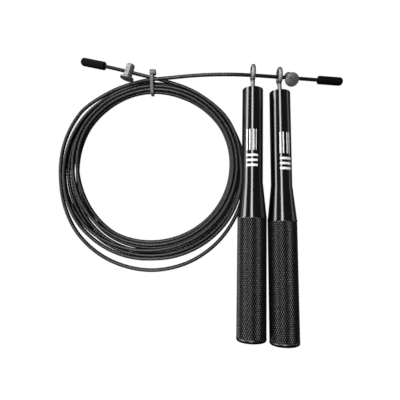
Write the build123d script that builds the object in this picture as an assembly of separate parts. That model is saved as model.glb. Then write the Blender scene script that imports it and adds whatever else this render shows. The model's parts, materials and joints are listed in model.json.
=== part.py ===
from build123d import *
import math
import os

# Speed jump rope laid out flat. Millimetres, +X across the two handles, +Y from the grips to the eyes,
# +Z up. The origin is on the surface that the rope lies on, below the middle of the two handles.

# Handle, measured along its axis from the grip end
HANDLE_LENGTH = 160.0
TUBE_D = 13.5
TUBE_LENGTH = 62.5
CONE_LENGTH = 21.5
GRIP_D = 18.6
GRIP_LENGTH = HANDLE_LENGTH - TUBE_LENGTH - CONE_LENGTH
LIP_ROUND = 1.2
TOP_CHAMFER = 0.4
TOP_WALL = 1.0
TOP_HOLE_D = 5.8
TUBE_BORE_D = 10.3
GRIP_BORE_D = 14.0
GRIP_BORE_END = 78.0

# End plug in the grip
PLUG_HEAD_D = 14.8
PLUG_HEAD = 1.6
PLUG_LENGTH = 10.0
PLUG_WALL = 1.4

# Ball bearings, 3 x 10 x 4
BEARING_BORE_D = 3.0
BEARING_D = 10.0
BEARING_WIDTH = 4.0
BALL_D = 1.588
BALL_PITCH_D = 6.5
BALL_COUNT = 7
RACE_D = 1.66
INNER_RING_D = 5.3
OUTER_RING_BORE_D = 7.7
CAGE_CLEARANCE = 0.1
CAGE_WIDTH = 2.4
POCKET_D = 1.68
UPPER_BEARING = HANDLE_LENGTH - TOP_WALL - BEARING_WIDTH
LOWER_BEARING = 135.0

# Spindle hardware
SHANK_D = BEARING_BORE_D
SHANK_END = 129.4
COLLAR_D = 4.4
COLLAR = 0.9
EYE_WIRE_D = 2.8
EYE_RADIUS = 4.5
EYE_CENTRE = HANDLE_LENGTH + 11.5
SPACER_D = 4.8
WASHER_D = 5.2
WASHER = 0.6
NUT_FLATS = 5.5
NUT_HEIGHT = 4.0
CIRCLIP = 1.0
CIRCLIP_D = 10.8
CIRCLIP_BORE_D = 7.9
CIRCLIP_GAP = 1.4

# Handle places: grip end x, y and the sideways run from grip end to eye end
AXIS_Z = GRIP_D / 2
HANDLES = {"left": (-10.4, -88.0, 3.5), "right": (10.0, -90.1, 0.8)}

# Cable and what is on it
CABLE_D = 2.5
CAP_D = 5.6
CAP_LENGTH = 17.2
CAP_SOLID_END = 4.0
CAP_MOUTH_CHAMFER = 0.4
BARREL_D = 5.7
BARREL_ABOVE = 3.7
BARREL_BELOW = 5.3
CROSS_HOLE_D = 3.1
GROOVE_DEPTH = 0.25
GROOVE_WIDTH = 0.6
GROOVE_AT = 0.3
SCREW_HOLE_D = 3.0
SCREW_D = 2.94
SCREW_SEAT_GAP = 0.03
SCREW_TIP = 1.35
SCREW_HEAD_D = 9.2
SCREW_HEAD = 1.9
SCREW_DOME = 0.5
RECESS_LENGTH = 5.0
RECESS_WIDTH = 1.0
RECESS_DEPTH = 1.1

# Coil: the bundle of turns lies between two circles that don't share a centre
COIL_INNER = (-71.55, 22.7, 49.4)
COIL_OUTER = (-74.6, 20.7, 60.6)
COIL_HEIGHT = 5.0
COIL_ROUND = 1.8

# Loose last turn, which lies on the surface outside the bundle
LOOSE_CENTRE = (-74.2, 15.0)
LOOSE_RADIUS = 61.5
LOOSE_TUCK = 3.5
LOOSE_FROM = 55
LOOSE_TO = -215
LOOSE_STEP = 30

# Left tail, from its capped end into the bundle
TAIL_LEFT = [
    (-119.1, 94.1, 3.0),
    (-104.9, 90.65, 4.0),
    (-76.5, 82.8, 5.4),
    (-62.5, 79.7, 4.0),
    (-50.0, 75.6, 3.4),
    (-39.7, 69.8, 3.2),
]
# Right lead, out of the bundle, through both eyes and on to its capped end
LEAD_RIGHT = [
    (-103.3, 72.9, 3.2),
    (-90.6, 77.6, 4.4),
    (-77.0, 80.0, 6.8),
    (-63.0, 80.7, 8.0),
    (-48.0, 82.0, 8.8),
    (-32.0, 82.45, 9.6),
    (-14.5, 82.1, 10.4),
    (21.0, 81.2, 6.75),
    (51.0, 80.5, 3.3),
]
# Distance of each stopper from a route corner, along the run that it slides on
STOPPER_LEFT_FROM = 14.0
STOPPER_RIGHT_FROM = 33.2
STOPPER_RIGHT_TILT = 37.0

# Cable tie: inside outline of its band as (y, z), and its ratchet head
TIE_X = -73.9
TIE_WIDTH = 1.9
TIE_BAND = 0.8
TIE_INSIDE = [(71.7, 0.8), (81.8, 0.8), (84.3, 3.4), (84.3, 6.2), (82.3, 8.7), (79.0, 8.7), (71.7, 5.4)]
TIE_HEAD = (4.3, 3.4, 3.6)
TIE_HEAD_AT = (-73.7, 86.3, 4.6)
TIE_HEAD_ROUND = 0.7


def turned(points):
    """Solid of revolution about Z from (radius, height) points."""
    outline = make_face(Polyline(*points, close=True))
    return revolve(Plane.XZ * outline, Axis.Z)


def ring(outer_d, inner_d, start, length):
    """Plain ring about Z."""
    inner, outer = inner_d / 2, outer_d / 2
    end = start + length
    return turned([(inner, start), (outer, start), (outer, end), (inner, end)])


def handle_shell():
    grip, tube, bore = GRIP_D / 2, TUBE_D / 2, TUBE_BORE_D / 2
    wide, seat = GRIP_BORE_D / 2, BEARING_D / 2
    top_hole, plug = TOP_HOLE_D / 2, PLUG_HEAD_D / 2
    below_clip = LOWER_BEARING - CIRCLIP
    shell = turned([
        (plug, 0), (grip, 0), (grip, GRIP_LENGTH), (tube, GRIP_LENGTH + CONE_LENGTH),
        (tube, HANDLE_LENGTH - TOP_CHAMFER), (tube - TOP_CHAMFER, HANDLE_LENGTH),
        (top_hole, HANDLE_LENGTH), (top_hole, HANDLE_LENGTH - TOP_WALL),
        (seat, HANDLE_LENGTH - TOP_WALL), (seat, LOWER_BEARING),
        (CIRCLIP_D / 2, LOWER_BEARING), (CIRCLIP_D / 2, below_clip), (bore, below_clip),
        (bore, GRIP_BORE_END), (wide, GRIP_BORE_END - (wide - bore)),
        (wide, PLUG_HEAD), (plug, PLUG_HEAD),
    ])
    end_edges = shell.edges().filter_by(GeomType.CIRCLE).group_by(Axis.Z)[0]
    return fillet(end_edges.sort_by(SortBy.RADIUS)[-1], LIP_ROUND)


def end_plug():
    head, body = PLUG_HEAD_D / 2, GRIP_BORE_D / 2
    inside = body - PLUG_WALL
    return turned([
        (0, 0), (head, 0), (head, PLUG_HEAD), (body, PLUG_HEAD), (body, PLUG_LENGTH),
        (inside, PLUG_LENGTH), (inside, PLUG_HEAD + PLUG_WALL), (0, PLUG_HEAD + PLUG_WALL),
    ])


def bearing(start):
    """The four pieces of a ball bearing whose lower face is at this height."""
    middle = start + BEARING_WIDTH / 2
    race = Pos(0, 0, middle) * Torus(BALL_PITCH_D / 2, RACE_D / 2)
    places = [Rot(0, 0, 360 * i / BALL_COUNT) * Pos(BALL_PITCH_D / 2, 0, middle) for i in range(BALL_COUNT)]
    cage = ring(
        OUTER_RING_BORE_D - 2 * CAGE_CLEARANCE, INNER_RING_D + 2 * CAGE_CLEARANCE,
        middle - CAGE_WIDTH / 2, CAGE_WIDTH,
    )
    for place in places:
        cage -= place * Rot(0, 90, 0) * Cylinder(POCKET_D / 2, BALL_PITCH_D / 2)
    return {
        "outer_ring": ring(BEARING_D, OUTER_RING_BORE_D, start, BEARING_WIDTH) - race,
        "inner_ring": ring(INNER_RING_D, BEARING_BORE_D, start, BEARING_WIDTH) - race,
        "balls": Compound(children=[place * Sphere(BALL_D / 2) for place in places]),
        "cage": cage,
    }


def eye_bolt():
    shank, collar, neck = SHANK_D / 2, COLLAR_D / 2, EYE_WIRE_D / 2
    shoulder = HANDLE_LENGTH - TOP_WALL
    neck_end = EYE_CENTRE - EYE_RADIUS
    stem = turned([
        (0, SHANK_END), (shank - 0.3, SHANK_END), (shank, SHANK_END + 0.3), (shank, shoulder),
        (collar, shoulder), (collar, shoulder + COLLAR), (neck, shoulder + COLLAR),
        (neck, neck_end), (0, neck_end),
    ])
    loop = Pos(0, 0, EYE_CENTRE) * Rot(90, 0, 0) * Torus(EYE_RADIUS, EYE_WIRE_D / 2)
    return stem + loop


def lock_nut():
    base = LOWER_BEARING - WASHER - NUT_HEIGHT
    collar_height = 1.2
    hexagon = Pos(0, 0, base + collar_height) * extrude(
        RegularPolygon(NUT_FLATS / 2, 6, major_radius=False), NUT_HEIGHT - collar_height
    )
    collar = Pos(0, 0, base + collar_height / 2) * Cylinder(NUT_FLATS / 2 - 0.3, collar_height)
    bore = Pos(0, 0, base + NUT_HEIGHT / 2) * Cylinder(SHANK_D / 2, NUT_HEIGHT)
    return hexagon + collar - bore


def retaining_ring():
    """Internal circlip: a ring with a gap and a drilled ear on each side of it."""
    start = LOWER_BEARING - CIRCLIP
    ear_at, ear_d, ear_hole_d, ear_angle = 4.35, 1.6, 0.7, 20
    clip = ring(CIRCLIP_D, CIRCLIP_BORE_D, start, CIRCLIP)
    for side in (1, -1):
        place = Rot(0, 0, side * ear_angle) * Pos(ear_at, 0, start + CIRCLIP / 2)
        clip += place * Cylinder(ear_d / 2, CIRCLIP)
        clip -= place * Cylinder(ear_hole_d / 2, CIRCLIP)
    return clip - Pos(CIRCLIP_D / 2, 0, start + CIRCLIP / 2) * Box(4.4, CIRCLIP_GAP, CIRCLIP)


def handle_pieces():
    pieces = {"handle_shell": handle_shell(), "end_plug": end_plug()}
    for level, start in (("upper", UPPER_BEARING), ("lower", LOWER_BEARING)):
        for name, solid in bearing(start).items():
            pieces[f"bearing_{level}_{name}"] = solid
    spacer_start = LOWER_BEARING + BEARING_WIDTH
    pieces["bearing_spacer"] = ring(SPACER_D, SHANK_D, spacer_start, UPPER_BEARING - spacer_start)
    pieces["eye_bolt"] = eye_bolt()
    pieces["eye_washer"] = ring(WASHER_D, SHANK_D, LOWER_BEARING - WASHER, WASHER)
    pieces["lock_nut"] = lock_nut()
    pieces["retaining_ring"] = retaining_ring()
    return pieces


def handle_plane(x, y, sideways):
    """Local Z along the handle from grip end to eye, local X up."""
    along = Vector(sideways, math.sqrt(HANDLE_LENGTH**2 - sideways**2), 0).normalized()
    return Plane(origin=(x, y, AXIS_Z), x_dir=(0, 0, 1), z_dir=along)


def round_route(points):
    """Straight runs with the largest arcs that they allow at the corners."""
    corners = [Vector(*p) for p in points]
    radii = []
    for before, corner, after in zip(corners, corners[1:], corners[2:]):
        run_in, run_out = corner - before, after - corner
        turn = math.radians(run_in.get_angle(run_out))
        radii.append(0.45 * min(run_in.length, run_out.length) / math.tan(turn / 2))
    print("arc radii", [round(r, 1) for r in radii])
    return FilletPolyline(*corners, radius=radii)


def cable(points):
    """Round cable along a route."""
    path = round_route(points)
    section = Plane(origin=path @ 0, z_dir=path % 0) * Circle(CABLE_D / 2)
    tube = sweep(section, path=path)
    print("cable volume, section x length", round(tube.volume, 1), round(section.area * path.length, 1))
    return tube


def loose_route():
    """The loose turn's corners, clockwise, with its two ends drawn in under the bundle."""
    angles = range(LOOSE_FROM, LOOSE_TO - 1, -LOOSE_STEP)
    points = []
    for angle in angles:
        tucked = angle in (angles[0], angles[-1])
        radius = LOOSE_RADIUS - (LOOSE_TUCK if tucked else 0)
        x = LOOSE_CENTRE[0] + radius * math.cos(math.radians(angle))
        y = LOOSE_CENTRE[1] + radius * math.sin(math.radians(angle))
        points.append((x, y, CABLE_D / 2))
    return points


def coil():
    (inner_x, inner_y, inner_r), (outer_x, outer_y, outer_r) = COIL_INNER, COIL_OUTER
    flat = Pos(outer_x, outer_y) * Circle(outer_r) - Pos(inner_x, inner_y) * Circle(inner_r)
    solid = extrude(flat, COIL_HEIGHT)
    return fillet(solid.edges().filter_by(GeomType.CIRCLE), COIL_ROUND)


def cable_tie():
    window = make_face(Polyline(*TIE_INSIDE, close=True))
    band = offset(window, amount=TIE_BAND, kind=Kind.ARC) - window
    side = Plane(origin=(TIE_X - TIE_WIDTH / 2, 0, 0), x_dir=(0, 1, 0), z_dir=(1, 0, 0))
    head = Box(*TIE_HEAD)
    head = fillet(head.edges(), TIE_HEAD_ROUND)
    return extrude(side * band, TIE_WIDTH) + Pos(*TIE_HEAD_AT) * head


def end_cap(points):
    """Rubber cap pushed over the cable end at the first point of this route."""
    end, inner = Vector(*points[0]), Vector(*points[1])
    radius = CAP_D / 2
    body = turned([
        (0, 0), (CABLE_D / 2, 0), (radius - CAP_MOUTH_CHAMFER, 0), (radius, CAP_MOUTH_CHAMFER),
        (radius, CAP_LENGTH), (0, CAP_LENGTH),
    ])
    body = fillet(body.edges().group_by(Axis.Z)[-1], radius * 0.8)
    depth = CAP_LENGTH - CAP_SOLID_END
    body -= Pos(0, 0, depth / 2) * Cylinder(CABLE_D / 2, depth)
    out = (end - inner).normalized()
    return Plane(origin=end - out * depth, z_dir=out) * body


def stopper_plane(along, centre, up):
    """Local X along the cable, local Z from the cable to the screw head."""
    along = along.normalized()
    axis = (up - along * up.dot(along)).normalized()
    return Plane(origin=centre, x_dir=along, z_dir=axis)


def stopper_barrel():
    radius, groove = BARREL_D / 2, BARREL_D / 2 - GROOVE_DEPTH
    edge = 0.4
    barrel = turned([
        (0, -BARREL_BELOW), (radius - edge, -BARREL_BELOW), (radius, edge - BARREL_BELOW),
        (radius, GROOVE_AT), (groove, GROOVE_AT), (groove, GROOVE_AT + GROOVE_WIDTH),
        (radius, GROOVE_AT + GROOVE_WIDTH), (radius, BARREL_ABOVE), (0, BARREL_ABOVE),
    ])
    cross_hole = Rot(0, 90, 0) * Cylinder(CROSS_HOLE_D / 2, 2 * BARREL_D)
    screw_hole = Pos(0, 0, BARREL_ABOVE / 2) * Cylinder(SCREW_HOLE_D / 2, BARREL_ABOVE)
    return barrel - cross_hole - screw_hole


def stopper_screw():
    shank, head = SCREW_D / 2, SCREW_HEAD_D / 2
    seat, top = BARREL_ABOVE + SCREW_SEAT_GAP, BARREL_ABOVE + SCREW_HEAD
    edge = 0.35
    dome_radius = (head**2 + SCREW_DOME**2) / (2 * SCREW_DOME)
    screw = turned([
        (0, SCREW_TIP), (shank, SCREW_TIP), (shank, seat), (head - edge, seat),
        (head, seat + edge), (head, top), (0, top),
    ])
    screw &= Pos(0, 0, top - dome_radius) * Sphere(dome_radius)
    for turn in (45, 135):
        screw -= Pos(0, 0, top) * Rot(0, 0, turn) * Box(RECESS_LENGTH, RECESS_WIDTH, 2 * RECESS_DEPTH)
    return screw


def stoppers():
    left_run = Vector(*TAIL_LEFT[1]) - Vector(*TAIL_LEFT[2])
    left_at = Vector(*TAIL_LEFT[2]) + left_run.normalized() * STOPPER_LEFT_FROM
    right_run = Vector(*LEAD_RIGHT[7]) - Vector(*LEAD_RIGHT[6])
    right_at = Vector(*LEAD_RIGHT[6]) + right_run.normalized() * STOPPER_RIGHT_FROM
    tilt = math.radians(STOPPER_RIGHT_TILT)
    planes = {
        "left": stopper_plane(left_run, left_at, Vector(0, -1, 0)),
        "right": stopper_plane(right_run, right_at, Vector(0, -math.sin(tilt), math.cos(tilt))),
    }
    for side, plane in planes.items():
        at, axis, along = plane.origin, plane.z_dir, plane.x_dir
        print(side, "stopper at", [round(v, 3) for v in at], "axis", [round(v, 5) for v in axis],
              "slides along", [round(v, 5) for v in along])
    return {side: (plane * stopper_barrel(), plane * stopper_screw()) for side, plane in planes.items()}


nodes = {
    "cable_coil": coil(),
    "cable_loose_turn": cable(loose_route()),
    "cable_tail_left": cable(TAIL_LEFT),
    "cable_lead_right": cable(LEAD_RIGHT),
    "cable_tie": cable_tie(),
    "left_end_cap": end_cap(TAIL_LEFT),
    "right_end_cap": end_cap(LEAD_RIGHT[::-1]),
}
for side, (barrel, screw) in stoppers().items():
    nodes[f"{side}_stopper_barrel"] = barrel
    nodes[f"{side}_stopper_screw"] = screw
for name, solid in handle_pieces().items():
    for side, place in HANDLES.items():
        nodes[f"{side}_{name}"] = handle_plane(*place) * solid

os.makedirs("parts", exist_ok=True)
for name, solid in nodes.items():
    export_step(solid, f"parts/{name}.step")
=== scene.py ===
import json
import math

import bmesh
import bpy
import numpy as np
from mathutils import Matrix, Vector


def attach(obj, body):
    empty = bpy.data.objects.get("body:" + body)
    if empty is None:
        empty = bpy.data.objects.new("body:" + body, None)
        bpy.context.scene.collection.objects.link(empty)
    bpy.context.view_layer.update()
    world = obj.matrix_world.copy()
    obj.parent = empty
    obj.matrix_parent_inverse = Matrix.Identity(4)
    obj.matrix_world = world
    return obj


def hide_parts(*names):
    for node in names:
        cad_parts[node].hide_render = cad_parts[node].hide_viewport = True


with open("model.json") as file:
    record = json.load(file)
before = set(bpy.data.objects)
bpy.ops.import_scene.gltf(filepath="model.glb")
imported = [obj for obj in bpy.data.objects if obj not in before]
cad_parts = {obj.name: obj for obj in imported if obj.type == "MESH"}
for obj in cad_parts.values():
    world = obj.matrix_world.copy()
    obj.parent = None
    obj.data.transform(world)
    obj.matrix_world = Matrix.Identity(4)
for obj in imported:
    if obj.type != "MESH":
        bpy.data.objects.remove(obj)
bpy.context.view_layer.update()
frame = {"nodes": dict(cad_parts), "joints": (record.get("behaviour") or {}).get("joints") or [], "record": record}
JOINTS = {j["name"]: j for j in frame["joints"]}

# Camera: between the coil and the grips, looking almost straight down
CAMERA_AT = (-0.04177, -0.02813, 0.2451)
CAMERA_TILT = math.radians(6.5)
SENSOR_WIDTH = 36.0
LENS = 33.47

# Studio: strips of light around the Y axis, each with its angle from straight up, width, length and power
FLOOR_Z = -0.0003
FLOOR_GLOW = 0.97
FLOOR_GREY = (0.04, 0.04, 0.04)
FLOOR_HALF_WIDTH = 12.0
BACKDROP_RADIUS = 11.0
STRIP_DISTANCE = 2.0
STRIP_Y = 0.3
AMBIENT = 0.07
STRIPS = [
    ("strip_over", -10.5, 0.52, 4.8, 68.0),
    ("strip_left", -76.0, 0.80, 4.8, 74.0),
    ("bounce_left", -102.0, 0.60, 4.8, 7.0),
    ("strip_right", 90.0, 0.60, 4.8, 7.0),
]

# Cable route, in metres, from the left capped end. The two listed ends repeat the CAD model's points.
CABLE_D = 0.0025
TAIL_LEFT = [
    (-0.1191, 0.0941, 0.0030),
    (-0.1049, 0.09065, 0.0040),
    (-0.0765, 0.0828, 0.0054),
    (-0.0625, 0.0797, 0.0040),
    (-0.0500, 0.0756, 0.0034),
    (-0.0397, 0.0698, 0.0032),
]
LEAD_RIGHT = [
    (-0.1033, 0.0729, 0.0032),
    (-0.0906, 0.0776, 0.0044),
    (-0.0770, 0.0800, 0.0068),
    (-0.0630, 0.0807, 0.0080),
    (-0.0480, 0.0820, 0.0088),
    (-0.0320, 0.08245, 0.0096),
    (-0.0145, 0.0821, 0.0104),
    (0.0210, 0.0812, 0.00675),
    (0.0510, 0.0805, 0.0033),
]
COIL_CENTRE = (-0.07155, 0.0227)
TURNS = 8
STEPS_PER_TURN = 36
# Where each turn lies until it changes over at the lower left: columns counted outward, and layer
TURN_SLOTS = [(3.5, 1), (2.9, 0), (2.1, 0), (1.15, 0), (0.15, 0), (0.6, 1), (1.6, 1), (4.2, 0)]
# The change-over, in degrees: where the last one starts, how much later each earlier one does, its length
CHANGE_FROM = 185
CHANGE_STAGGER = 12
CHANGE_LENGTH = 75
# Spread of the columns, in cable diameters, over the columns that fill the bundle
TIGHT_PITCH = 0.94
WIDE_PITCH = 1.3
FILLED_COLUMNS = 3.5
LAYER_RISE = 0.87
WANDER = 0.00012
# Degrees at both ends of the coil where it follows the listed ends
HELD_ARC = 44
# Settling of the turns: rounds, straightening, pull to the slot, sinking, and nearest distance in diameters
SETTLE_ROUNDS = 500
STRAIGHTEN = 0.25
PULL_BACK = 0.03
SINK = 0.00002
NEAREST = 0.98
# Edges of the bundle and line of the loose last turn: clockwise angle from the top, radius
BUNDLE_EDGE = [
    (0, 0.0580), (15, 0.0578), (30, 0.0585), (45, 0.0590), (60, 0.0589), (75, 0.0583), (90, 0.0583),
    (120, 0.0616), (135, 0.0627), (150, 0.0633), (165, 0.0629), (180, 0.0627), (195, 0.0642),
    (210, 0.0653), (225, 0.0657), (240, 0.0644), (255, 0.0630), (270, 0.0614), (285, 0.0606),
    (300, 0.0599), (315, 0.0593), (330, 0.0592), (345, 0.0586),
]
INNER_EDGE = [
    (0, 0.0499), (20, 0.0493), (45, 0.0498), (60, 0.0502), (80, 0.0498), (105, 0.0490), (125, 0.0484),
    (150, 0.0480), (165, 0.0483), (180, 0.0491), (195, 0.0501), (210, 0.0509), (225, 0.0500),
    (240, 0.0489), (255, 0.0481), (270, 0.0485), (285, 0.0499), (300, 0.0503), (320, 0.0499), (345, 0.0501),
]
LAST_TURN = [
    (0, 0.0569), (30, 0.0573), (45, 0.0577), (63, 0.0577), (76, 0.0583), (90, 0.0596), (105, 0.0612),
    (123, 0.0632), (140, 0.0655), (160, 0.0677), (182, 0.0691), (208, 0.0688), (228, 0.0677),
    (246, 0.0653), (262, 0.0634), (290, 0.0632), (311, 0.0629), (325, 0.0618), (340, 0.0601),
]


def camera():
    data = bpy.data.cameras.new("camera")
    data.sensor_width = SENSOR_WIDTH
    data.lens = LENS
    obj = bpy.data.objects.new("camera", data)
    obj.location = CAMERA_AT
    obj.rotation_euler = (CAMERA_TILT, 0, 0)
    bpy.context.scene.collection.objects.link(obj)
    bpy.context.scene.camera = obj


def smooth(t):
    t = np.clip(t, 0, 1)
    return t * t * (3 - 2 * t)


def around(pairs, angles):
    """A closed curve of radius over angle, through these (angle, radius) pairs."""
    degrees, radii = np.array(pairs).T
    return np.interp(angles % 360, degrees, radii, period=360)


def polar(points):
    """Clockwise angle from the top, radius and height of points about the coil's centre."""
    x, y, z = np.array(points).T
    x, y = x - COIL_CENTRE[0], y - COIL_CENTRE[1]
    return np.degrees(np.arctan2(x, y)), np.hypot(x, y), z


def coil_points():
    """The turns, laid slot by slot and then settled against each other, the floor and the edges."""
    count = TURNS * STEPS_PER_TURN + 1
    angle = np.arange(count) * 360.0 / STEPS_PER_TURN
    turn = np.minimum(angle // 360, TURNS - 1).astype(int)
    local = angle - 360 * turn
    edge = around(BUNDLE_EDGE, angle)
    inner = around(INNER_EDGE, angle)
    pitch = np.clip((edge - inner - CABLE_D) / FILLED_COLUMNS, TIGHT_PITCH * CABLE_D, WIDE_PITCH * CABLE_D)
    column, layer = np.array(TURN_SLOTS).T
    change = smooth((local - CHANGE_FROM - CHANGE_STAGGER * (TURNS - 2 - turn)) / CHANGE_LENGTH)
    after = np.minimum(turn + 1, TURNS - 1)
    columns = column[turn] + (column[after] - column[turn]) * change
    layers = layer[turn] + (layer[after] - layer[turn]) * change
    radius = inner + CABLE_D / 2 + columns * pitch
    height = CABLE_D / 2 + layers * LAYER_RISE * CABLE_D
    random = np.random.default_rng(4)
    wander = sum(
        random.uniform(-1, 1) * np.sin(np.radians(angle) * k / TURNS + random.uniform(0, 6.28))
        for k in range(9, 24)
    )
    radius += wander * WANDER
    free = np.ones(count)
    last = turn == TURNS - 1
    radius[last] = around(LAST_TURN, angle[last])
    height[last] = CABLE_D / 2
    free[last] = 0
    for points, start in ((TAIL_LEFT, 0), (LEAD_RIGHT, 360 * TURNS)):
        degrees, radii, heights = polar(points)
        order = np.argsort(degrees)
        held = angle - start
        held = (held > -HELD_ARC) & (held < HELD_ARC)
        radius[held] = np.interp(angle[held] - start, degrees[order], radii[order])
        height[held] = np.interp(angle[held] - start, degrees[order], heights[order])
        free[held] = 0
    target = radius.copy()
    for _ in range(SETTLE_ROUNDS):
        middle_r = (radius[:-2] + radius[2:]) / 2
        middle_z = (height[:-2] + height[2:]) / 2
        radius[1:-1] += free[1:-1] * STRAIGHTEN * (middle_r - radius[1:-1])
        height[1:-1] += free[1:-1] * STRAIGHTEN * (middle_z - height[1:-1])
        radius += free * PULL_BACK * (target - radius)
        height -= free * SINK
        for apart in range(1, TURNS + 1):
            gap = apart * STEPS_PER_TURN
            dr, dz = radius[gap:] - radius[:-gap], height[gap:] - height[:-gap]
            distance = np.hypot(dr, dz) + 1e-9
            push = np.maximum(NEAREST * CABLE_D - distance, 0) / distance
            first, second = free[:-gap], free[gap:]
            share = np.maximum(first + second, 1)
            radius[gap:] += dr * push * second / share
            height[gap:] += dz * push * second / share
            radius[:-gap] -= dr * push * first / share
            height[:-gap] -= dz * push * first / share
        low, high = inner + CABLE_D / 2, edge - CABLE_D / 2
        radius = np.where(free > 0, np.clip(radius, low, high), radius)
        height = np.where(free > 0, np.maximum(height, CABLE_D / 2), height)
    x = COIL_CENTRE[0] + radius * np.sin(np.radians(angle))
    y = COIL_CENTRE[1] + radius * np.cos(np.radians(angle))
    laid = (angle > HELD_ARC) & (angle < 360 * TURNS - HELD_ARC)
    return list(zip(x[laid], y[laid], height[laid]))


def spline_line(points):
    """Points along the route's NURBS spline."""
    curve = bpy.data.curves.new("cable_route", "CURVE")
    curve.dimensions = "3D"
    curve.resolution_u = 16
    spline = curve.splines.new("NURBS")
    spline.points.add(len(points) - 1)
    for point, place in zip(spline.points, points):
        point.co = (*place, 1)
    spline.order_u = 3
    spline.use_endpoint_u = True
    obj = bpy.data.objects.new("cable_route", curve)
    mesh = bpy.data.meshes.new_from_object(obj)
    line = np.array([v.co for v in mesh.vertices])
    bpy.data.objects.remove(obj)
    bpy.data.curves.remove(curve)
    bpy.data.meshes.remove(mesh)
    return line


def even_points(line, spacing):
    """The same line with points at an even distance, and how far along each lies."""
    steps = np.linalg.norm(np.diff(line, axis=0), axis=1)
    line = line[np.concatenate([[True], steps > 1e-9])]
    along = np.concatenate([[0], np.cumsum(np.linalg.norm(np.diff(line, axis=0), axis=1))])
    count = int(along[-1] / spacing) + 1
    at = np.linspace(0, along[-1], count)
    return np.column_stack([np.interp(at, along, line[:, k]) for k in range(3)]), at


def mesh_object(name, vertices, faces, material, shade=True):
    mesh = bpy.data.meshes.new(name)
    mesh.from_pydata([tuple(v) for v in vertices], [], faces)
    mesh.validate()
    mesh.update()
    if shade:
        mesh.shade_smooth()
    mesh.materials.append(material)
    obj = bpy.data.objects.new(name, mesh)
    bpy.context.scene.collection.objects.link(obj)
    return obj


def grid_faces(rows, columns):
    """Quads of a grid whose columns close on themselves."""
    faces = []
    for i in range(rows - 1):
        low, high = i * columns, (i + 1) * columns
        for j in range(columns):
            k = (j + 1) % columns
            faces.append((low + j, low + k, high + k, high + j))
    return faces


def principled(name, colour, roughness, metallic=0.0):
    material = bpy.data.materials.new(name)
    material.use_nodes = True
    shader = material.node_tree.nodes["Principled BSDF"]
    shader.inputs["Base Color"].default_value = (*colour, 1)
    shader.inputs["Roughness"].default_value = roughness
    shader.inputs["Metallic"].default_value = metallic
    return material, shader


def noise(material, scale, stretch):
    """A noise texture in the object's own coordinates."""
    nodes, links = material.node_tree.nodes, material.node_tree.links
    place = nodes.new("ShaderNodeTexCoord")
    mapping = nodes.new("ShaderNodeMapping")
    mapping.inputs["Scale"].default_value = stretch
    texture = nodes.new("ShaderNodeTexNoise")
    texture.inputs["Scale"].default_value = scale
    texture.inputs["Detail"].default_value = 4.0
    links.new(place.outputs["Object"], mapping.inputs["Vector"])
    links.new(mapping.outputs["Vector"], texture.inputs["Vector"])
    return texture.outputs["Fac"]


def ramp(material, value, low, high):
    """Colour that goes from low to high as the value does."""
    nodes, links = material.node_tree.nodes, material.node_tree.links
    node = nodes.new("ShaderNodeValToRGB")
    node.color_ramp.elements[0].position = 0.3
    node.color_ramp.elements[1].position = 0.7
    node.color_ramp.elements[0].color = (*low, 1)
    node.color_ramp.elements[1].color = (*high, 1)
    links.new(value, node.inputs["Fac"])
    return node.outputs["Color"]


def roughen(material, shader, value, low, high):
    nodes, links = material.node_tree.nodes, material.node_tree.links
    node = nodes.new("ShaderNodeMapRange")
    node.inputs["To Min"].default_value = low
    node.inputs["To Max"].default_value = high
    links.new(value, node.inputs["Value"])
    links.new(node.outputs["Result"], shader.inputs["Roughness"])


def bump(material, shader, value, distance):
    nodes, links = material.node_tree.nodes, material.node_tree.links
    node = nodes.new("ShaderNodeBump")
    node.inputs["Distance"].default_value = distance
    node.inputs["Strength"].default_value = 1.0
    links.new(value, node.inputs["Height"])
    links.new(node.outputs["Normal"], shader.inputs["Normal"])


def worn(name, low, high, roughness, metallic, scale, depth, stretch=(1, 1, 1)):
    """A surface with uneven colour and gloss and a fine relief."""
    material, shader = principled(name, low, roughness[0], metallic)
    value = noise(material, scale, stretch)
    links = material.node_tree.links
    links.new(ramp(material, value, low, high), shader.inputs["Base Color"])
    roughen(material, shader, value, *roughness)
    bump(material, shader, value, depth)
    return material


def groove_shade(material, shader):
    """Takes the shine out of the grooves of the knurling."""
    nodes, links = material.node_tree.nodes, material.node_tree.links
    height = nodes.new("ShaderNodeAttribute")
    height.attribute_name = "knurl_height"
    lift = nodes.new("ShaderNodeMapRange")
    lift.inputs["From Min"].default_value = 0.15
    lift.inputs["From Max"].default_value = 0.85
    lift.inputs["To Min"].default_value = 0.0
    lift.inputs["To Max"].default_value = 1.0
    links.new(height.outputs["Fac"], lift.inputs["Value"])
    links.new(lift.outputs["Result"], shader.inputs["Specular IOR Level"])


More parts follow.
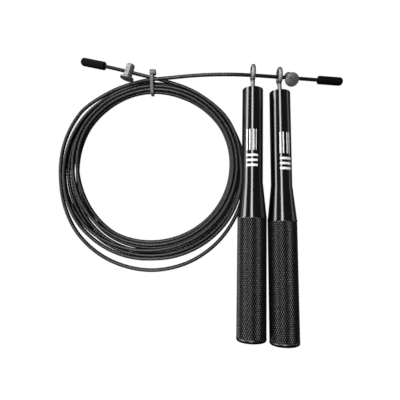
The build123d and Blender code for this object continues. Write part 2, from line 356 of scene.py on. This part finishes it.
def make_materials():
    grey = lambda v: (v, v, v * 1.01)
    materials = {
        "cable": worn("cable_coating", grey(0.003), grey(0.01), (0.24, 0.4), 0.0, 900, 0.00004),
        "tube": worn(
            "black_anodised_gloss", grey(0.0008), grey(0.0016), (0.11, 0.15), 0.0, 300, 0.0000008,
            stretch=(1, 0.15, 1),
        ),
        "grip": worn("black_anodised_knurl", grey(0.0012), grey(0.003), (0.3, 0.4), 0.0, 700, 0.000004),
        "print": worn("white_print", grey(0.78), grey(0.86), (0.4, 0.5), 0.0, 1500, 0.000004),
        "plastic": worn("black_plastic", grey(0.002), grey(0.004), (0.35, 0.5), 0.0, 900, 0.00001),
        "steel": worn("bearing_steel", grey(0.5), grey(0.6), (0.18, 0.3), 1.0, 900, 0.000004),
        "brass": worn("cage_brass", (0.55, 0.4, 0.18), (0.7, 0.52, 0.26), (0.3, 0.4), 1.0, 900, 0.000004),
        "nickel": worn("satin_nickel", grey(0.23), grey(0.30), (0.5, 0.58), 1.0, 1200, 0.000002),
        "bright": worn("bright_nickel", grey(0.22), grey(0.30), (0.46, 0.54), 1.0, 1200, 0.000002),
        "tie": worn("grey_nylon", grey(0.09), grey(0.13), (0.4, 0.5), 0.0, 900, 0.00001),
        "rubber": worn("black_rubber", grey(0.0008), grey(0.002), (0.5, 0.65), 0.0, 1400, 0.00002),
    }
    for name, level in (("tube", 1.0), ("cable", 0.36), ("rubber", 0.08)):
        shader = materials[name].node_tree.nodes["Principled BSDF"]
        shader.inputs["Specular IOR Level"].default_value = level
    groove_shade(materials["grip"], materials["grip"].node_tree.nodes["Principled BSDF"])
    return materials


# Handle, with distances from the grip end, as in the CAD model
HANDLE_LENGTH = 0.160
GRIP_LENGTH = 0.076
CONE_END = 0.0975
GRIP_D = 0.0186
TUBE_D = 0.0135
LIP_ROUND = 0.0012
PLUG_D = 0.0148
PLUG_HEAD = 0.0016
TOP_HOLE_D = 0.0058
BEARING_D = 0.010
LOWER_BEARING = 0.135
TOP_WALL = 0.001
CIRCLIP_D = 0.0108
CIRCLIP_WIDTH = 0.001
TUBE_BORE_D = 0.0103
GRIP_BORE_D = 0.014
BORE_CONE = (0.0762, 0.078)

# Knurl: diamonds round the grip and along it
KNURL_STARTS = 42
KNURL_PERIOD = 0.0027
KNURL_FROM = 0.0020
KNURL_TO = 0.0752
KNURL_DEPTH = 0.00036
KNURL_STEPS = 6
KNURL_FADE = 0.0005

# Printed bars on the tube: distances along the handle, then angles round it
MARK = [
    (0.1075, 0.1090, -32, 32),
    (0.1107, 0.1122, -32, 32),
    (0.1139, 0.1154, -32, 32),
    (0.1178, 0.1315, -32, -25),
    (0.1178, 0.1315, -16, -9),
    (0.1178, 0.1315, 6, 12),
    (0.1178, 0.1315, 20, 24),
]
MARK_ROLL = {"left": -10, "right": 14}
MARK_RADIUS = TUBE_D / 2 + 0.00004
MARK_UNDER = TUBE_D / 2 + 0.00001

# Strands that show through the cable's coating, and the rings of its mesh
LAY_LENGTH = 0.0130
STRANDS = 6
STRAND_DEPTH = 0.2
RING_POINTS = 24
RING_SPACING = 0.0008


def cable(materials):
    """The whole cable as one tube whose surface shows the twisted strands under its coating."""
    line, along = even_points(spline_line(TAIL_LEFT + coil_points() + LEAD_RIGHT), RING_SPACING)
    tangent = np.gradient(line, axis=0)
    tangent /= np.linalg.norm(tangent, axis=1)[:, None]
    up = np.array([0.0, 0.0, 1.0])
    side = np.cross(tangent, up)
    side /= np.linalg.norm(side, axis=1)[:, None]
    over = np.cross(side, tangent)
    turn = 2 * math.pi * np.arange(RING_POINTS) / RING_POINTS
    twist = turn[None, :] - 2 * math.pi * along[:, None] / LAY_LENGTH
    crest = np.abs(np.cos(STRANDS / 2 * twist))
    radius = CABLE_D / 2 * (1 - STRAND_DEPTH * (1 - crest) ** 1.5)
    vertices = line[:, None] + radius[..., None] * (
        np.cos(turn)[None, :, None] * side[:, None] + np.sin(turn)[None, :, None] * over[:, None]
    )
    faces = grid_faces(len(line), RING_POINTS)
    last = (len(line) - 1) * RING_POINTS
    faces.append(tuple(reversed(range(RING_POINTS))))
    faces.append(tuple(range(last, last + RING_POINTS)))
    obj = mesh_object("cable", vertices.reshape(-1, 3), faces, materials["cable"])
    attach(obj, "root")
    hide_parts("cable_coil", "cable_loose_turn", "cable_tail_left", "cable_lead_right")


def handle_frame(side):
    """Where a handle's grip end is, and its directions across, up and along to the eye."""
    joint = JOINTS[f"{side}_handle_spin"]
    start, along = Vector(joint["pos_m"]), Vector(joint["axis"]).normalized()
    across = along.cross(Vector((0, 0, 1))).normalized()
    up = across.cross(along)
    return np.array(start), np.array(across), np.array(up), np.array(along)


def handle_point(placing, radius, angle, distance):
    """Points at these radii and angles round the handle, angle 0 on top and growing towards +X."""
    start, across, up, along = placing
    return (
        start + np.multiply.outer(distance, along) + np.multiply.outer(radius * np.sin(angle), across)
        + np.multiply.outer(radius * np.cos(angle), up)
    )


def knurl_relief(column, row):
    """0 in the valleys of two crossing helices and 1 on top of the diamonds between them."""
    one, other = (column + row) / KNURL_STEPS, (column - row) / KNURL_STEPS
    return np.abs(np.sin(math.pi * one) * np.sin(math.pi * other))


def knurled_rows():
    """Radius and distance of each ring of the knurled length."""
    columns = KNURL_STEPS * KNURL_STARTS
    rows = int(round((KNURL_TO - KNURL_FROM) / (KNURL_PERIOD / KNURL_STEPS)))
    distance = np.linspace(KNURL_FROM, KNURL_TO, rows + 1)
    column, row = np.meshgrid(np.arange(columns), np.arange(rows + 1))
    fade = np.clip(np.minimum(distance - KNURL_FROM, KNURL_TO - distance) / KNURL_FADE, 0, 1)[:, None]
    depth = KNURL_DEPTH * (1 - knurl_relief(column, row)) * fade
    return GRIP_D / 2 - depth, distance


def smooth_rings(profile, columns):
    """Rings of one radius each through these (radius, distance) pairs."""
    radius, distance = np.array(profile).T
    return np.repeat(radius[:, None], columns, axis=1), distance


def handle_shell(side, materials):
    """A turned shell with its knurled grip, and its bores and bearing seats inside."""
    placing = handle_frame(side)
    columns = KNURL_STEPS * KNURL_STARTS
    lip = [
        (GRIP_D / 2 - LIP_ROUND * (1 - math.sin(a)), LIP_ROUND * (1 - math.cos(a)))
        for a in np.linspace(0, math.pi / 2, 6)
    ]
    before = smooth_rings([(PLUG_D / 2, 0)] + lip, columns)
    knurl = knurled_rows()
    edge = 0.0003
    after = smooth_rings([
        (GRIP_D / 2, GRIP_LENGTH - edge), (GRIP_D / 2 - edge / 2, GRIP_LENGTH),
        (TUBE_D / 2 + edge / 3, CONE_END - edge), (TUBE_D / 2, CONE_END + edge),
        (TUBE_D / 2, HANDLE_LENGTH - 0.0005), (TUBE_D / 2 - 0.00015, HANDLE_LENGTH - 0.00012),
        (TUBE_D / 2 - 0.0004, HANDLE_LENGTH), (TOP_HOLE_D / 2, HANDLE_LENGTH),
        (TOP_HOLE_D / 2, HANDLE_LENGTH - TOP_WALL), (BEARING_D / 2, HANDLE_LENGTH - TOP_WALL),
        (BEARING_D / 2, LOWER_BEARING), (CIRCLIP_D / 2, LOWER_BEARING),
        (CIRCLIP_D / 2, LOWER_BEARING - CIRCLIP_WIDTH), (TUBE_BORE_D / 2, LOWER_BEARING - CIRCLIP_WIDTH),
        (TUBE_BORE_D / 2, BORE_CONE[1]), (GRIP_BORE_D / 2, BORE_CONE[0]),
        (GRIP_BORE_D / 2, PLUG_HEAD), (PLUG_D / 2, PLUG_HEAD),
    ], columns)
    parts = [before, knurl, after]
    radius = np.concatenate([part[0] for part in parts])
    distance = np.concatenate([part[1] for part in parts])
    angle = 2 * math.pi * np.arange(columns) / columns
    vertices = handle_point(placing, radius, angle[None, :], distance[:, None] + 0 * radius)
    first, last = len(before[1]), len(before[1]) + len(knurl[1]) - 1
    faces = []
    for i in range(len(radius)):
        low, high = i * columns, (i + 1) % len(radius) * columns
        for j in range(columns):
            k = (j + 1) % columns
            if first <= i < last:
                row = i - first
                if (row - j) % KNURL_STEPS == 0:
                    faces += [(low + j, low + k, high + k), (low + j, high + k, high + j)]
                else:
                    faces += [(low + j, low + k, high + j), (low + k, high + k, high + j)]
            else:
                faces.append((low + j, low + k, high + k, high + j))
    obj = mesh_object(f"{side}_handle", vertices.reshape(-1, 3), faces, materials["tube"])
    obj.data.materials.append(materials["grip"])
    height = np.zeros(radius.shape)
    height[first:last + 1] = 1 - (GRIP_D / 2 - knurl[0]) / KNURL_DEPTH
    layer = obj.data.attributes.new("knurl_height", "FLOAT", "POINT")
    layer.data.foreach_set("value", height.ravel())
    for face in obj.data.polygons:
        farthest_ring = max(v // columns for v in face.vertices)
        face.material_index = 1 if farthest_ring <= last else 0
    sharpen(obj)
    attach(obj, f"{side}_handle")
    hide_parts(f"{side}_handle_shell")


def printed_bars(side, materials):
    """Plain white bars on the tube, as thin separate pieces."""
    placing = handle_frame(side)
    for i, (low, high, turn_from, turn_to) in enumerate(MARK):
        angles = np.radians(MARK_ROLL[side] + np.linspace(turn_from, turn_to, 9))
        corners = [(MARK_RADIUS, low), (MARK_RADIUS, high), (MARK_UNDER, high), (MARK_UNDER, low)]
        lines = [handle_point(placing, r, angles, at + 0 * angles) for r, at in corners]
        vertices = np.stack(lines, axis=1).reshape(-1, 3)
        ends = [(3, 2, 1, 0), tuple(range(len(vertices) - 4, len(vertices)))]
        faces = grid_faces(len(angles), 4) + ends
        obj = mesh_object(f"{side}_mark_bar_{i + 1}", vertices, faces, materials["print"], shade=False)
        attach(obj, f"{side}_handle")


def sharpen(obj, degrees=32):
    """Marks the edges between faces that meet at more than this angle as sharp."""
    mesh = bmesh.new()
    mesh.from_mesh(obj.data)
    bmesh.ops.recalc_face_normals(mesh, faces=mesh.faces)
    for edge in mesh.edges:
        if len(edge.link_faces) == 2 and edge.calc_face_angle() > math.radians(degrees):
            edge.smooth = False
    mesh.to_mesh(obj.data)
    mesh.free()


def glowing(name):
    material, shader = principled(name, FLOOR_GREY, 1.0)
    shader.inputs["Emission Color"].default_value = (1, 1, 1, 1)
    shader.inputs["Emission Strength"].default_value = FLOOR_GLOW
    return material, shader


def floor():
    """A white sheet that only the camera sees, so that it puts no bright edge on the black metal."""
    size = FLOOR_HALF_WIDTH
    material, shader = glowing("pale_floor")
    shader.inputs["Specular IOR Level"].default_value = 0.0
    corners = [(-size, -size, FLOOR_Z), (size, -size, FLOOR_Z), (size, size, FLOOR_Z), (-size, size, FLOOR_Z)]
    obj = mesh_object("floor", corners, [(0, 1, 2, 3)], material, shade=False)
    seen_by_camera_only(obj)


def backdrop():
    """A white dome round the whole studio, so that every view has a pale background."""
    material = glowing("pale_backdrop")[0]
    mesh = bmesh.new()
    bmesh.ops.create_uvsphere(mesh, u_segments=48, v_segments=24, radius=BACKDROP_RADIUS)
    data = bpy.data.meshes.new("backdrop")
    mesh.to_mesh(data)
    mesh.free()
    data.materials.append(material)
    obj = bpy.data.objects.new("backdrop", data)
    bpy.context.scene.collection.objects.link(obj)
    seen_by_camera_only(obj)


def seen_by_camera_only(obj):
    obj.visible_glossy = False
    obj.visible_diffuse = False
    obj.visible_transmission = False
    obj.visible_shadow = False


def strip_light(name, place, size, power):
    """A soft box over the coil and handles, with its long side along Y."""
    data = bpy.data.lights.new(name, "AREA")
    data.shape = "RECTANGLE"
    data.size, data.size_y = size
    data.energy = power
    obj = bpy.data.objects.new(name, data)
    away = Vector(place).normalized()
    across = Vector((0, 1, 0)).cross(away).normalized()
    along = away.cross(across)
    turn = Matrix((across, along, away)).transposed()
    obj.matrix_world = Matrix.Translation(place) @ turn.to_4x4()
    bpy.context.scene.collection.objects.link(obj)


def lighting():
    world = bpy.data.worlds.new("studio")
    world.use_nodes = True
    world.node_tree.nodes["Background"].inputs["Color"].default_value = (1, 1, 1, 1)
    world.node_tree.nodes["Background"].inputs["Strength"].default_value = AMBIENT
    bpy.context.scene.world = world
    bpy.context.scene.view_settings.view_transform = "Standard"
    for name, degrees, width, length, power in STRIPS:
        tilt = math.radians(degrees)
        place = (STRIP_DISTANCE * math.sin(tilt), STRIP_Y, STRIP_DISTANCE * math.cos(tilt))
        strip_light(name, place, (width, length), power)


MATERIAL_OF_SLOT = {
    "black_anodised": "tube", "black_plastic": "plastic", "bearing_steel": "steel", "cage_brass": "brass",
    "satin_nickel": "nickel", "bright_nickel": "bright", "black_cable": "cable", "grey_nylon": "tie",
    "black_rubber": "rubber",
}


def dress_cad_nodes(materials):
    slots = {s["node"]: s["material_slot"] for s in frame["record"]["subparts"]}
    for name, obj in frame["nodes"].items():
        obj.data.materials.clear()
        obj.data.materials.append(materials[MATERIAL_OF_SLOT[slots[name]]])


camera()
materials = make_materials()
dress_cad_nodes(materials)
cable(materials)
for side in ("left", "right"):
    handle_shell(side, materials)
    printed_bars(side, materials)
floor()
backdrop()
lighting()
